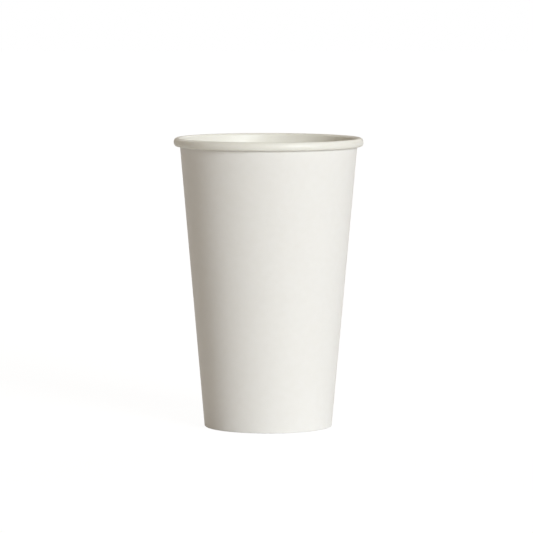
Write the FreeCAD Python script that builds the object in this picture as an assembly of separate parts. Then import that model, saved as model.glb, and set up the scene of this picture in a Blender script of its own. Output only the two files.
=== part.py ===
import FreeCAD, Part
import math
import os

# A plain single-wall paper cup for hot drinks, in millimetres, with +Z up.
# The origin is the middle of the foot, on the surface that the cup stands on.
# It is two sheets of coated paperboard, sealed to each other by heat:
#   sidewall  one blank wound into a cone and lapped at its side seam, with its top edge rolled
#             outwards into the rim and its bottom edge folded in and up as the hem
#   bottom    one round blank with its edge turned down as a skirt, held between wall and hem

# Sizes over all
rim_diameter = 90.0  # over the rolled rim, which a lid closes on
base_diameter = 60.6  # outside of the wall, carried down to the foot
cup_height = 137.4  # foot to the top of the rim

# The two boards, and the melted coating that seals one to the other
wall_board = 0.38
bottom_board = 0.32
seal_film = 0.02

# The rolled rim
bead_height = 4.0
bead_overhang = 2.63  # how far the rim stands out from the wall
flank_turn = 70.0  # degrees that the rounded outer side of the rim turns through
tuck_turn = 60.0  # degrees that the rolled-in edge goes on past upright
tuck_clearance = 0.05  # between the rolled-in edge and the lapped wall

# The side seam, in degrees round the axis from +X
seam_angle = 165.0  # middle of the lap
lap_angle = 9.0
ramp_angle = 4.5  # where the outer ply comes down off the edge of the inner ply
ramp_steps = 3

# The foot
hem_height = 7.5
recess_depth = 9.0  # foot to the underside of the bottom
bend_radius = 0.45  # inside of the bend between the bottom and its skirt
skirt_edge_gap = 0.15  # between the skirt's edge and the fold that it stands in

# A rounded stretch of a section is a row of chords that leave its arc by no more than this,
# the width of a few fibres. Whole tori would take four times the facets.
chord_sag = 0.07

AXIS_POINT = FreeCAD.Vector(0, 0, 0)
AXIS = FreeCAD.Vector(0, 0, 1)
UPRIGHT = math.pi / 2

# The wall leans out by the taper. Its inner face, which takes the shape of the winding
# cone, is the datum, and a face of the board is named by its distance outwards from there.
taper = math.atan((rim_diameter / 2 - bead_overhang - base_diameter / 2) / cup_height)
cos_taper = math.cos(taper)
sin_taper = math.sin(taper)
channel = bottom_board + 2 * seal_film  # from the wall to the hem, filled by the skirt


def wall_radius(height, face):
    datum = base_diameter / 2 - wall_board / cos_taper + height * math.tan(taper)
    return datum + face / cos_taper


def hem_radius(height, face):
    return wall_radius(height, -channel - face)


# The rim's roll is three arcs in a row: a crown over the mouth, a flatter flank outside and
# a tighter tuck underneath. Their radii give the stated height and overhang, and leave the
# rolled-in edge just clear of the two plies of the lapped wall.
half_flank = math.radians(flank_turn) / 2
cos_flank = math.cos(half_flank)
sin_flank = math.sin(half_flank)
lapped_wall = 2 * wall_board + tuck_clearance
bead_width = bead_overhang + wall_board / cos_taper

tuck_ratio = 1 + cos_flank * cos_taper + sin_taper
tuck_share = (tuck_ratio - 2 * sin_taper) / tuck_ratio
tuck_offset = (bead_height * sin_taper - lapped_wall) / tuck_ratio
flank_share = -(1 + tuck_share) * (1 - sin_flank) / (2 * sin_flank)
flank_offset = (bead_height - tuck_offset * (1 - sin_flank)) / (2 * sin_flank)
crown_share = (1 - sin_taper) / cos_taper + cos_flank + flank_share * (1 - cos_flank)

crown_radius = (bead_width - flank_offset * (1 - cos_flank)) / crown_share
flank_radius = flank_share * crown_radius + flank_offset
tuck_radius = tuck_share * crown_radius + tuck_offset


def point(radius, height):
    return FreeCAD.Vector(radius, 0, height)


def polar(centre, radius, angle):
    return centre + point(radius * math.cos(angle), radius * math.sin(angle))


# One rounded stretch. Its chords are counted on the face of the board that stands furthest
# out, so that both faces of the board turn in the same steps.
def rounded(centre, outer_radius, inset, start, end):
    chord_turn = 2 * math.acos(1 - chord_sag / outer_radius)
    chords = math.ceil(abs(end - start) / chord_turn)
    step = (end - start) / chords
    return [polar(centre, outer_radius - inset, start + step * i) for i in range(chords + 1)]


crown_height = cup_height - crown_radius
crown_centre = point(
    wall_radius(crown_height, 0) + crown_radius / cos_taper,
    crown_height,
)
flank_centre = polar(crown_centre, crown_radius - flank_radius, half_flank)
tuck_centre = polar(flank_centre, flank_radius - tuck_radius, -half_flank)


# One face of the roll, from the rolled-in edge over the flank and the crown to the wall. Flank
# and crown are each cut in two at their furthest point, so that width and height come out whole.
def roll_face(face):
    tuck_end = -math.pi - math.radians(tuck_turn)
    tuck = rounded(tuck_centre, tuck_radius, face, tuck_end, -half_flank)
    lower_flank = rounded(flank_centre, flank_radius, face, -half_flank, 0)
    upper_flank = rounded(flank_centre, flank_radius, face, 0, half_flank)
    outer_crown = rounded(crown_centre, crown_radius, face, half_flank, UPRIGHT)
    inner_crown = rounded(crown_centre, crown_radius, face, UPRIGHT, math.pi - taper)
    return tuck + lower_flank[1:] + upper_flank[1:] + outer_crown[1:] + inner_crown[1:]


# The fold under the skirt is a sharp crease inside, and outside it rounds by the board.
def inner_foot(face):
    return [
        point(wall_radius(wall_board, face), wall_board),
        point(hem_radius(wall_board, face), wall_board),
    ]


def outer_foot(face):
    inset = wall_board / cos_taper
    wall_corner = point(wall_radius(wall_board, face) - inset, wall_board)
    hem_corner = point(hem_radius(wall_board, face) + inset, wall_board)
    wall_side = rounded(wall_corner, wall_board, 0, -taper, -UPRIGHT)
    hem_side = rounded(hem_corner, wall_board, 0, -UPRIGHT, -math.pi - taper)
    return wall_side + hem_side


# The closed outline of the board between two of its faces. The foot stays level at the
# lap, where the fold is pressed flat.
def board_outline(inner_face, outer_face):
    hem_edge = [point(hem_radius(hem_height, face), hem_height) for face in (inner_face, outer_face)]
    inner = roll_face(inner_face) + inner_foot(inner_face) + hem_edge[:1]
    outer = roll_face(outer_face) + outer_foot(outer_face) + hem_edge[1:]
    return Part.makePolygon(inner + outer[::-1] + inner[:1])


def turned(shape, degrees):
    copy = shape.copy()
    copy.rotate(AXIS_POINT, AXIS, degrees)
    return copy


def swept(outline, start, sweep):
    return turned(Part.Face(outline), start).revolve(AXIS_POINT, AXIS, sweep)


# Where the outer ply steps down from the inner ply's edge to the winding cone.
def ramp(start, sweep):
    sections = []
    for step in range(ramp_steps + 1):
        along = step / ramp_steps
        rise = wall_board * along * along * (3 - 2 * along)
        outline = board_outline(rise, rise + wall_board)
        sections.append(turned(outline, start + sweep * along))
    return Part.makeLoft(sections, True, True)


def sidewall():
    inner_edge = seam_angle - lap_angle / 2
    outer_edge = inner_edge + lap_angle
    single_ply = 360 - lap_angle - ramp_angle
    body = swept(board_outline(0.0, wall_board), outer_edge, single_ply)
    lap = swept(board_outline(0.0, 2 * wall_board), inner_edge, lap_angle)
    step_down = ramp(outer_edge + single_ply, ramp_angle)
    return body.multiFuse([lap, step_down]).removeSplitter()


def bottom():
    outer_face = -seal_film
    outer_bend = bend_radius + bottom_board
    top = recess_depth + bottom_board
    edge = wall_board + skirt_edge_gap
    bend_height = top - outer_bend
    bend_centre = point(
        wall_radius(bend_height, outer_face) - outer_bend / cos_taper,
        bend_height,
    )
    upper = [point(wall_radius(edge, outer_face), edge)]
    upper += rounded(bend_centre, outer_bend, 0, -taper, UPRIGHT)
    upper += [point(0, top)]
    lower = [point(wall_radius(edge, outer_face - bottom_board), edge)]
    lower += rounded(bend_centre, outer_bend, bottom_board, -taper, UPRIGHT)
    lower += [point(0, recess_depth)]
    return swept(Part.makePolygon(upper + lower[::-1] + upper[:1]), 0, 360)


os.makedirs("parts", exist_ok=True)
for name, shape in (("sidewall", sidewall()), ("bottom", bottom())):
    shape.exportStep(os.path.join("parts", name + ".step"))
    size = shape.BoundBox
    print(name, "valid", shape.isValid(), "solids", len(shape.Solids), "faces", len(shape.Faces))
    print("  volume", round(shape.Volume, 2), "height", round(size.ZLength, 3))
print("crown, flank and tuck radii", crown_radius, flank_radius, tuck_radius)
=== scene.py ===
import math

import bmesh
import bpy
from mathutils import Matrix, Vector


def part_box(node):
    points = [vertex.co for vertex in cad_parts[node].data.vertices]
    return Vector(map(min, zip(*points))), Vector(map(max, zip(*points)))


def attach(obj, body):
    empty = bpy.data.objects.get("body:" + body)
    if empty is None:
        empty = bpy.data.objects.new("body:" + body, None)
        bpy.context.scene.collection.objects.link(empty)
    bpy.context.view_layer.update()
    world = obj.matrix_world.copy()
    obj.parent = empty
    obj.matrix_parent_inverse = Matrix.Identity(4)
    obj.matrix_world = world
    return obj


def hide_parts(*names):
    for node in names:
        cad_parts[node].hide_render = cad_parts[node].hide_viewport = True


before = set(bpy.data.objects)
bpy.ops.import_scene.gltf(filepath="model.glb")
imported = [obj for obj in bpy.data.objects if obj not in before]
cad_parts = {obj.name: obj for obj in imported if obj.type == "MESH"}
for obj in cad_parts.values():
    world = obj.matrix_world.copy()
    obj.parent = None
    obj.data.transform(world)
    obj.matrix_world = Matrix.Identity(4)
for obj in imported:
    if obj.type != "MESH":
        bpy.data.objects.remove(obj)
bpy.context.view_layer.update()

scene = bpy.context.scene

# Lengths are in metres and angles in degrees. Each sheet of board is one surface, the one
# that faces the drink, and a Solidify modifier gives it its thickness, away from the drink.
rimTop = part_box("sidewall")[1]

# The sidewall, which is the rim, the wall, the lap and the hem in one sheet.
cup = {
    "rimRadius": 0.045,
    "height": rimTop[2],
    "baseRadius": 0.0303,  # outside of the wall, carried down to the foot
    "board": 0.00038,
    "film": 0.00002,  # melted coating between two plies
    "beadHeight": 0.0040,
    "beadOverhang": 0.00263,
    "flankTurn": 70.0,
    "tuckTurn": 60.0,  # how far the rolled-in edge goes on past upright
    "tuckClearance": 0.00005,
    "hemHeight": 0.0075,
    "foldRadius": 0.00015,
    "fineBelow": 0.0090,  # height that the wall is drawn in finer steps from
    "knurl": {
        "ribs": 90,  # pressed into the hem all the way round
        "depth": 0.4,  # share of the board's thickness
        "start": 0.0014,
        "end": 0.0066,
        "fade": 0.0005,
    },
    "seam": {
        "middle": 165.0,
        "lap": 9.0,
        "ramp": 4.5,  # where the outer ply comes down off the inner ply's edge
        "release": 1.0,  # where the foot swells again past the outer ply's edge
        "fineRun": 2.0,  # stretch past that edge that is drawn in finer steps
        "pressed": 0.0006,  # height of the foot that is pressed back to one ply's thickness
        "pressFade": 0.0012,
    },
    "steps": {
        "tuck": 22, "flank": 12, "crown": 20, "wall": 10, "foot": 6, "fold": 5, "hem": 13,
        "lap": 18, "fineRun": 4, "singlePly": 430, "ramp": 12,
    },
}

taper = math.atan((cup["rimRadius"] - cup["beadOverhang"] - cup["baseRadius"]) / cup["height"])
upAxis = Vector((0, 0, 1))
sectionAxis = Vector((0, -1, 0))  # a positive turn about it goes from +X to +Z


# Radius of a face of the wall, named by its distance outwards from the face towards the drink.
def wallRadius(height, face):
    return cup["baseRadius"] + height * math.tan(taper) + (face - cup["board"]) / math.cos(taper)


# Centre, radius and turn of the roll's three arcs. The radii give the stated height and
# overhang, and leave the rolled-in edge just clear of the lap's two plies.
def rollArcs():
    halfFlank = math.radians(cup["flankTurn"]) / 2
    cosTaper, sinTaper = math.cos(taper), math.sin(taper)
    cosFlank, sinFlank = math.cos(halfFlank), math.sin(halfFlank)
    lapped = 2 * cup["board"] + cup["tuckClearance"]
    beadWidth = cup["beadOverhang"] + cup["board"] / cosTaper
    ratio = 1 + cosFlank * cosTaper + sinTaper
    tuckShare = (ratio - 2 * sinTaper) / ratio
    tuckOffset = (cup["beadHeight"] * sinTaper - lapped) / ratio
    flankShare = -(1 + tuckShare) * (1 - sinFlank) / (2 * sinFlank)
    flankOffset = (cup["beadHeight"] - tuckOffset * (1 - sinFlank)) / (2 * sinFlank)
    crownShare = (1 - sinTaper) / cosTaper + cosFlank + flankShare * (1 - cosFlank)
    crown = (beadWidth - flankOffset * (1 - cosFlank)) / crownShare
    flank = flankShare * crown + flankOffset
    tuck = tuckShare * crown + tuckOffset
    crownHeight = cup["height"] - crown
    crownCentre = Vector((wallRadius(crownHeight, 0) + crown / cosTaper, 0, crownHeight))
    outwards = Vector((cosFlank, 0, sinFlank))
    flankCentre = crownCentre + (crown - flank) * outwards
    tuckCentre = flankCentre + (flank - tuck) * Vector((cosFlank, 0, -sinFlank))
    return {
        "tuck": (tuckCentre, tuck, 180 + cup["tuckTurn"] - cup["flankTurn"] / 2),
        "flank": (flankCentre, flank, cup["flankTurn"]),
        "crown": (crownCentre, crown, 180 - math.degrees(taper) - cup["flankTurn"] / 2),
    }


# Carries a section on round a centre, and returns its new end.
def turnVert(bm, vert, centre, degrees, steps):
    bmesh.ops.spin(
        bm, geom=[vert], cent=centre, axis=sectionAxis, angle=math.radians(degrees), steps=steps,
    )
    bm.verts.ensure_lookup_table()
    return bm.verts[-1]


# Carries a section on in a straight line, and returns its new end.
def runVert(bm, vert, target, steps):
    start = vert.co.copy()
    for step in range(1, steps + 1):
        made = bmesh.ops.extrude_vert_indiv(bm, verts=[vert])
        vert = made["verts"][0]
        vert.co = start.lerp(target, step / steps)
    return vert


# The wall's face towards the drink: the roll, the wall, the fold and the hem, in one line.
def drawSidewallSection(bm):
    arcs = rollArcs()
    count = cup["steps"]
    slope = math.degrees(taper)
    tuckCentre, tuckRadius, tuckTurn = arcs["tuck"]
    startTurn = -180 - cup["tuckTurn"]
    start = Matrix.Rotation(math.radians(startTurn), 3, sectionAxis) @ Vector((tuckRadius, 0, 0))
    vert = bm.verts.new(tuckCentre + start)
    vert = turnVert(bm, vert, tuckCentre, tuckTurn, count["tuck"])
    vert = turnVert(bm, vert, arcs["flank"][0], arcs["flank"][2], count["flank"])
    vert = turnVert(bm, vert, arcs["crown"][0], arcs["crown"][2], count["crown"])
    channel = base["board"] + 2 * cup["film"]  # from the wall to the hem, filled by the skirt
    foldHeight = cup["board"] + cup["foldRadius"]
    inset = cup["foldRadius"] / math.cos(taper)
    wallFoot = Vector((wallRadius(foldHeight, 0) - inset, 0, foldHeight))
    hemFoot = Vector((wallRadius(foldHeight, -channel) + inset, 0, foldHeight))
    lean = Matrix.Rotation(-taper, 3, sectionAxis) @ Vector((cup["foldRadius"], 0, 0))
    fine = cup["fineBelow"]
    vert = runVert(bm, vert, Vector((wallRadius(fine, 0), 0, fine)), count["wall"])
    vert = runVert(bm, vert, wallFoot + lean, count["foot"])
    vert = turnVert(bm, vert, wallFoot, slope - 90, count["fold"])
    vert = runVert(bm, vert, hemFoot - Vector((0, 0, cup["foldRadius"])), 1)
    vert = turnVert(bm, vert, hemFoot, -90 - slope, count["fold"])
    hemStart = len(bm.verts)
    hemEdge = Vector((wallRadius(cup["hemHeight"], -channel), 0, cup["hemHeight"]))
    runVert(bm, vert, hemEdge, count["hem"])
    bm.verts.ensure_lookup_table()
    hem = bm.verts.layers.float.new("hem")
    for vert in bm.verts[hemStart:]:
        vert[hem] = 1.0


def smoothStep(value):
    value = min(max(value, 0.0), 1.0)
    return value * value * (3 - 2 * value)


# How much of the board's thickness the knurling tool takes away, at a height of the hem.
def knurlShare(along, height):
    knurl = cup["knurl"]
    rise = smoothStep((height - knurl["start"]) / knurl["fade"])
    fall = smoothStep((knurl["end"] - height) / knurl["fade"])
    groove = 0.5 - 0.5 * math.cos(math.radians(along * knurl["ribs"]))
    return knurl["depth"] * groove * rise * fall


# Spins everything loose at the end of the sheet on by some degrees, and returns the new end.
def windOn(bm, end, degrees, steps):
    made = bmesh.ops.spin(
        bm, geom=end, cent=(0, 0, 0), axis=upAxis, angle=math.radians(degrees), steps=steps,
    )
    return made["geom_last"]


# Solidify gives the outside the first material, the side towards the drink the second, and
# the edges the third.
def makeSheet(bm, name, board):
    mesh = bpy.data.meshes.new(name)
    bm.to_mesh(mesh)
    bm.free()
    piece = bpy.data.objects.new(name, mesh)
    scene.collection.objects.link(piece)
    solid = piece.modifiers.new("board", "SOLIDIFY")
    solid.thickness = board
    solid.offset = 1
    solid.use_rim = True
    solid.material_offset = 1
    solid.material_offset_rim = 2
    return piece


def makeSidewall():
    seam = cup["seam"]
    count = cup["steps"]
    inner = seam["middle"] - seam["lap"] / 2
    bm = bmesh.new()
    drawSidewallSection(bm)
    winding = bm.verts.layers.float.new("winding")
    hem = bm.verts.layers.float["hem"]
    turnToSeam = Matrix.Rotation(math.radians(inner), 3, "Z")
    bmesh.ops.rotate(bm, verts=bm.verts, cent=(0, 0, 0), matrix=turnToSeam)
    sectionCount = len(bm.verts)
    stretches = (
        (seam["lap"], count["lap"]),
        (seam["fineRun"], count["fineRun"]),
        (360 - seam["lap"] - seam["fineRun"] - seam["ramp"], count["singlePly"]),
        (seam["ramp"], count["ramp"]),
        (seam["lap"], count["lap"]),
    )
    end = bm.verts[:] + bm.edges[:]
    turned = 0.0
    for degrees, steps in stretches:
        before = len(bm.verts)
        end = windOn(bm, end, degrees, steps)
        bm.verts.ensure_lookup_table()
        for index in range(before, len(bm.verts)):
            ring = (index - before) // sectionCount + 1
            bm.verts[index][winding] = turned + degrees * ring / steps
        turned += degrees
    print("sidewall wound through", turned, "degrees,", len(bm.verts), "points")
    bm.normal_update()
    wallVert = min(bm.verts, key=lambda v: abs(v.co.z - cup["height"] / 2))
    if wallVert.normal.xy.dot(wallVert.co.xy) < 0:
        bmesh.ops.reverse_faces(bm, faces=bm.faces)
        bm.normal_update()
    # The outer ply is pushed out by the inner ply and the film, and the foot of the lap is
    # pressed back so that the cup stands level.
    thickness = {}
    pushes = []
    for vert in bm.verts:
        along = vert[winding]
        outer = smoothStep((along - 360 + seam["ramp"]) / seam["ramp"])
        under = 1 - smoothStep((along - seam["lap"]) / seam["release"])
        doubled = max(outer, under)
        pressed = (1 - doubled * cup["film"] / cup["board"]) / (1 + doubled)
        foot = 1 - smoothStep((vert.co.z - seam["pressed"]) / seam["pressFade"])
        weight = 1 + (pressed - 1) * foot - vert[hem] * knurlShare(along, vert.co.z)
        pushes.append((vert, vert.normal * outer * (weight * cup["board"] + cup["film"])))
        thickness[vert.index] = weight
    for vert, push in pushes:
        vert.co += push
    piece = makeSheet(bm, "sidewall_sheet", cup["board"])
    group = piece.vertex_groups.new(name="thickness")
    for index, weight in thickness.items():
        group.add([index], weight, "REPLACE")
    piece.modifiers["board"].vertex_group = "thickness"
    return piece


# The bottom, whose skirt stands between the wall and the hem.
base = {
    "board": 0.00032,
    "recess": 0.0090,  # foot to the underside
    "bendRadius": 0.00045,
    "edgeGap": 0.00015,  # skirt's edge to the fold that it stands in
    "mergeWithin": 0.000001,
    "pucker": {
        "depth": 0.00004,
        "waves": ((53, 0.5, 0), (31, 0.3, 1), (84, 0.2, 0)),  # number, share and start
        "rise": 0.0005,
        "fall": 0.0004,
    },
    "steps": {"disc": 12, "bend": 8, "skirt": 5, "turn": 480},
}


# The skirt was drawn down from flat board, so it is puckered where the hem doesn't press it.
def puckerDepth(turn, height):
    pucker = base["pucker"]
    wave = sum(share * math.cos(number * turn + start) for number, share, start in pucker["waves"])
    rise = smoothStep((height - cup["hemHeight"]) / pucker["rise"])
    fall = smoothStep((base["recess"] + base["board"] - height) / pucker["fall"])
    return pucker["depth"] * (0.5 + 0.5 * wave) * rise * fall


def makeBottom():
    count = base["steps"]
    top = base["recess"] + base["board"]
    bend = base["bendRadius"] + base["board"]
    bendHeight = top - bend
    centre = Vector((wallRadius(bendHeight, -cup["film"]) - bend / math.cos(taper), 0, bendHeight))
    edge = cup["board"] + base["edgeGap"]
    bm = bmesh.new()
    vert = bm.verts.new((0, 0, top))
    vert = runVert(bm, vert, centre + Vector((0, 0, bend)), count["disc"])
    vert = turnVert(bm, vert, centre, -90 - math.degrees(taper), count["bend"])
    for height in (cup["hemHeight"], edge):
        below = Vector((wallRadius(height, -cup["film"]), 0, height))
        vert = runVert(bm, vert, below, count["skirt"])
    bmesh.ops.spin(
        bm, geom=bm.verts[:] + bm.edges[:], cent=(0, 0, 0), axis=upAxis,
        angle=math.tau, steps=count["turn"], use_merge=True,
    )
    bmesh.ops.remove_doubles(bm, verts=bm.verts, dist=base["mergeWithin"])
    bmesh.ops.recalc_face_normals(bm, faces=bm.faces)
    bm.normal_update()
    disc = min(bm.verts, key=lambda v: v.co.xy.length)
    if disc.normal.z > 0:
        bmesh.ops.reverse_faces(bm, faces=bm.faces)
    for vert in bm.verts:
        turn = math.atan2(vert.co.y, vert.co.x)
        vert.co.xy -= vert.co.xy.normalized() * puckerDepth(turn, vert.co.z)
    print("bottom turned,", len(bm.verts), "points")
    return makeSheet(bm, "bottom_sheet", base["board"])


paper = {
    "lightShare": 1.0,  # all of the light goes in among the fibres, and a little comes through
    "lightSpread": 0.00017,
    "cloudDetail": 5,
    "cloudEdges": (0.35, 0.65),
    "fibreDetail": 8,
}
looks = {
    # The side towards the drink is paler and yellower than the outside. This is partly the
    # coating's own colour and partly painted light, standing in for the warm light that bounces
    # round inside the cup and comes through its wall.
    "coatedBoard": {
        "cloudScale": 300, "dark": (0.900, 0.885, 0.814), "pale": (0.910, 0.896, 0.828),
        "fibreScale": 5200, "bump": 0.10, "relief": 0.00002, "roughness": 0.42, "specular": 0.5,
    },
    "plainBoard": {
        "cloudScale": 300, "dark": (0.864, 0.849, 0.813), "pale": (0.876, 0.862, 0.829),
        "fibreScale": 6500, "bump": 0.11, "relief": 0.00002, "roughness": 0.85, "specular": 0.25,
    },
    "cutEdge": {
        "cloudScale": 2600, "dark": (0.70, 0.66, 0.58), "pale": (0.84, 0.81, 0.75),
        "fibreScale": 9000, "bump": 0.6, "relief": 0.00004, "roughness": 0.95, "specular": 0.1,
    },
}


def newMaterial(name):
    material = bpy.data.materials.new(name)
    material.use_nodes = True
    nodes = material.node_tree.nodes
    return material, nodes, material.node_tree.links, nodes["Principled BSDF"]


def boardMaterial(name):
    look = looks[name]
    material, nodes, links, shader = newMaterial(name)
    place = nodes.new("ShaderNodeTexCoord")
    cloud = nodes.new("ShaderNodeTexNoise")
    cloud.inputs["Scale"].default_value = look["cloudScale"]
    cloud.inputs["Detail"].default_value = paper["cloudDetail"]
    tone = nodes.new("ShaderNodeValToRGB")
    stops = zip(tone.color_ramp.elements, paper["cloudEdges"], (look["dark"], look["pale"]))
    for stop, position, colour in stops:
        stop.position = position
        stop.color = (*colour, 1)
    fibre = nodes.new("ShaderNodeTexNoise")
    fibre.inputs["Scale"].default_value = look["fibreScale"]
    fibre.inputs["Detail"].default_value = paper["fibreDetail"]
    bump = nodes.new("ShaderNodeBump")
    bump.inputs["Strength"].default_value = look["bump"]
    bump.inputs["Distance"].default_value = look["relief"]
    links.new(place.outputs["Object"], cloud.inputs["Vector"])
    links.new(place.outputs["Object"], fibre.inputs["Vector"])
    links.new(cloud.outputs["Fac"], tone.inputs["Fac"])
    links.new(fibre.outputs["Fac"], bump.inputs["Height"])
    links.new(tone.outputs["Color"], shader.inputs["Base Color"])
    links.new(bump.outputs["Normal"], shader.inputs["Normal"])
    shader.inputs["Subsurface Weight"].default_value = paper["lightShare"]
    shader.inputs["Subsurface Radius"].default_value = (1, 1, 1)
    shader.inputs["Subsurface Scale"].default_value = paper["lightSpread"]
    shader.inputs["Roughness"].default_value = look["roughness"]
    shader.inputs["Specular IOR Level"].default_value = look["specular"]
    return material


coatedBoard = boardMaterial("coatedBoard")
plainBoard = boardMaterial("plainBoard")
cutEdge = boardMaterial("cutEdge")


def finishPiece(piece, node):
    for material in (plainBoard, coatedBoard, cutEdge):
        piece.data.materials.append(material)
    piece.data.shade_smooth()
    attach(piece, "root")
    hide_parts(node)


finishPiece(makeSidewall(), "sidewall")
finishPiece(makeBottom(), "bottom")
print("cup modelled")

# The photograph's camera, worked out from the outlines of the rim, the wall and the foot.
view = {
    "place": (-0.00091, -1.8107, 0.23165),
    "lookDown": 4.91,
    "roll": 0.086,
    "focal": 258.23,
    "sensor": 36.0,
    "farthest": 20.0,
}


def makeCamera():
    lens = bpy.data.cameras.new("view")
    lens.sensor_width = view["sensor"]
    lens.lens = view["focal"]
    lens.clip_end = view["farthest"]
    camera = bpy.data.objects.new("view", lens)
    scene.collection.objects.link(camera)
    tilt = Matrix.Rotation(math.radians(90 - view["lookDown"]), 4, "X")
    roll = Matrix.Rotation(math.radians(view["roll"]), 4, "Z")
    camera.matrix_world = Matrix.Translation(view["place"]) @ tilt @ roll
    scene.camera = camera


# A dim warm light from all round, and lamps whose turn is to the right of the camera, seen
# from above.
light = {
    "ambient": (0.262, 0.224, 0.177),
    "lamps": {
        "key": {"turn": 33, "height": 15, "spread": 24, "colour": (0.670, 0.706, 0.740)},
        "rearRight": {"turn": 150, "height": 30, "spread": 24, "colour": (0.11, 0.11, 0.11)},
        "rearLeft": {"turn": -150, "height": 30, "spread": 24, "colour": (0.11, 0.11, 0.11)},
        "above": {"turn": 0, "height": 88, "spread": 24, "colour": (0.06, 0.06, 0.06)},
    },
}


def makeLights():
    world = bpy.data.worlds.new("room")
    scene.world = world
    world.use_nodes = True
    nodes, links = world.node_tree.nodes, world.node_tree.links
    background = nodes["Background"]
    background.inputs["Color"].default_value = (*light["ambient"], 1)
    white = nodes.new("ShaderNodeBackground")
    white.inputs["Color"].default_value = (1, 1, 1, 1)
    path = nodes.new("ShaderNodeLightPath")
    mix = nodes.new("ShaderNodeMixShader")
    links.new(path.outputs["Is Camera Ray"], mix.inputs["Fac"])
    links.new(background.outputs["Background"], mix.inputs[1])
    links.new(white.outputs["Background"], mix.inputs[2])
    links.new(mix.outputs["Shader"], nodes["World Output"].inputs["Surface"])
    for name, place in light["lamps"].items():
        lamp = bpy.data.lights.new(name, "SUN")
        lamp.color = place["colour"]
        lamp.energy = math.pi  # white board that faces the lamp then shows the lamp's colour
        lamp.angle = math.radians(place["spread"])
        holder = bpy.data.objects.new(name, lamp)
        scene.collection.objects.link(holder)
        turn = Matrix.Rotation(math.radians(place["turn"]), 4, "Z")
        holder.matrix_world = turn @ Matrix.Rotation(math.radians(90 - place["height"]), 4, "X")


# The floor is white to the camera and keeps a faint shadow.
ground = {
    "size": 12,
    "paper": 0.8,  # as the cup is lit by it
    "faint": 0.16,  # as the camera sees it, with the glow added
    "glow": 0.92,
}


def makeFloor():
    bpy.ops.mesh.primitive_plane_add(size=ground["size"], location=(0, 0, 0))
    floor = bpy.context.object
    floor.name = "floor"
    material, nodes, links, shader = newMaterial("floor")
    nodes.remove(shader)
    sheet = nodes.new("ShaderNodeBsdfDiffuse")
    sheet.inputs["Color"].default_value = (ground["paper"], ground["paper"], ground["paper"], 1)
    faint = nodes.new("ShaderNodeBsdfDiffuse")
    faint.inputs["Color"].default_value = (ground["faint"], ground["faint"], ground["faint"], 1)
    glow = nodes.new("ShaderNodeEmission")
    glow.inputs["Color"].default_value = (1, 1, 1, 1)
    glow.inputs["Strength"].default_value = ground["glow"]
    both = nodes.new("ShaderNodeAddShader")
    mix = nodes.new("ShaderNodeMixShader")
    path = nodes.new("ShaderNodeLightPath")
    links.new(faint.outputs["BSDF"], both.inputs[0])
    links.new(glow.outputs["Emission"], both.inputs[1])
    links.new(path.outputs["Is Camera Ray"], mix.inputs["Fac"])
    links.new(sheet.outputs["BSDF"], mix.inputs[1])
    links.new(both.outputs["Shader"], mix.inputs[2])
    links.new(mix.outputs["Shader"], nodes["Material Output"].inputs["Surface"])
    floor.data.materials.append(material)


makeCamera()
makeLights()
makeFloor()
scene.view_settings.view_transform = "Standard"
print("camera, lights and floor made")
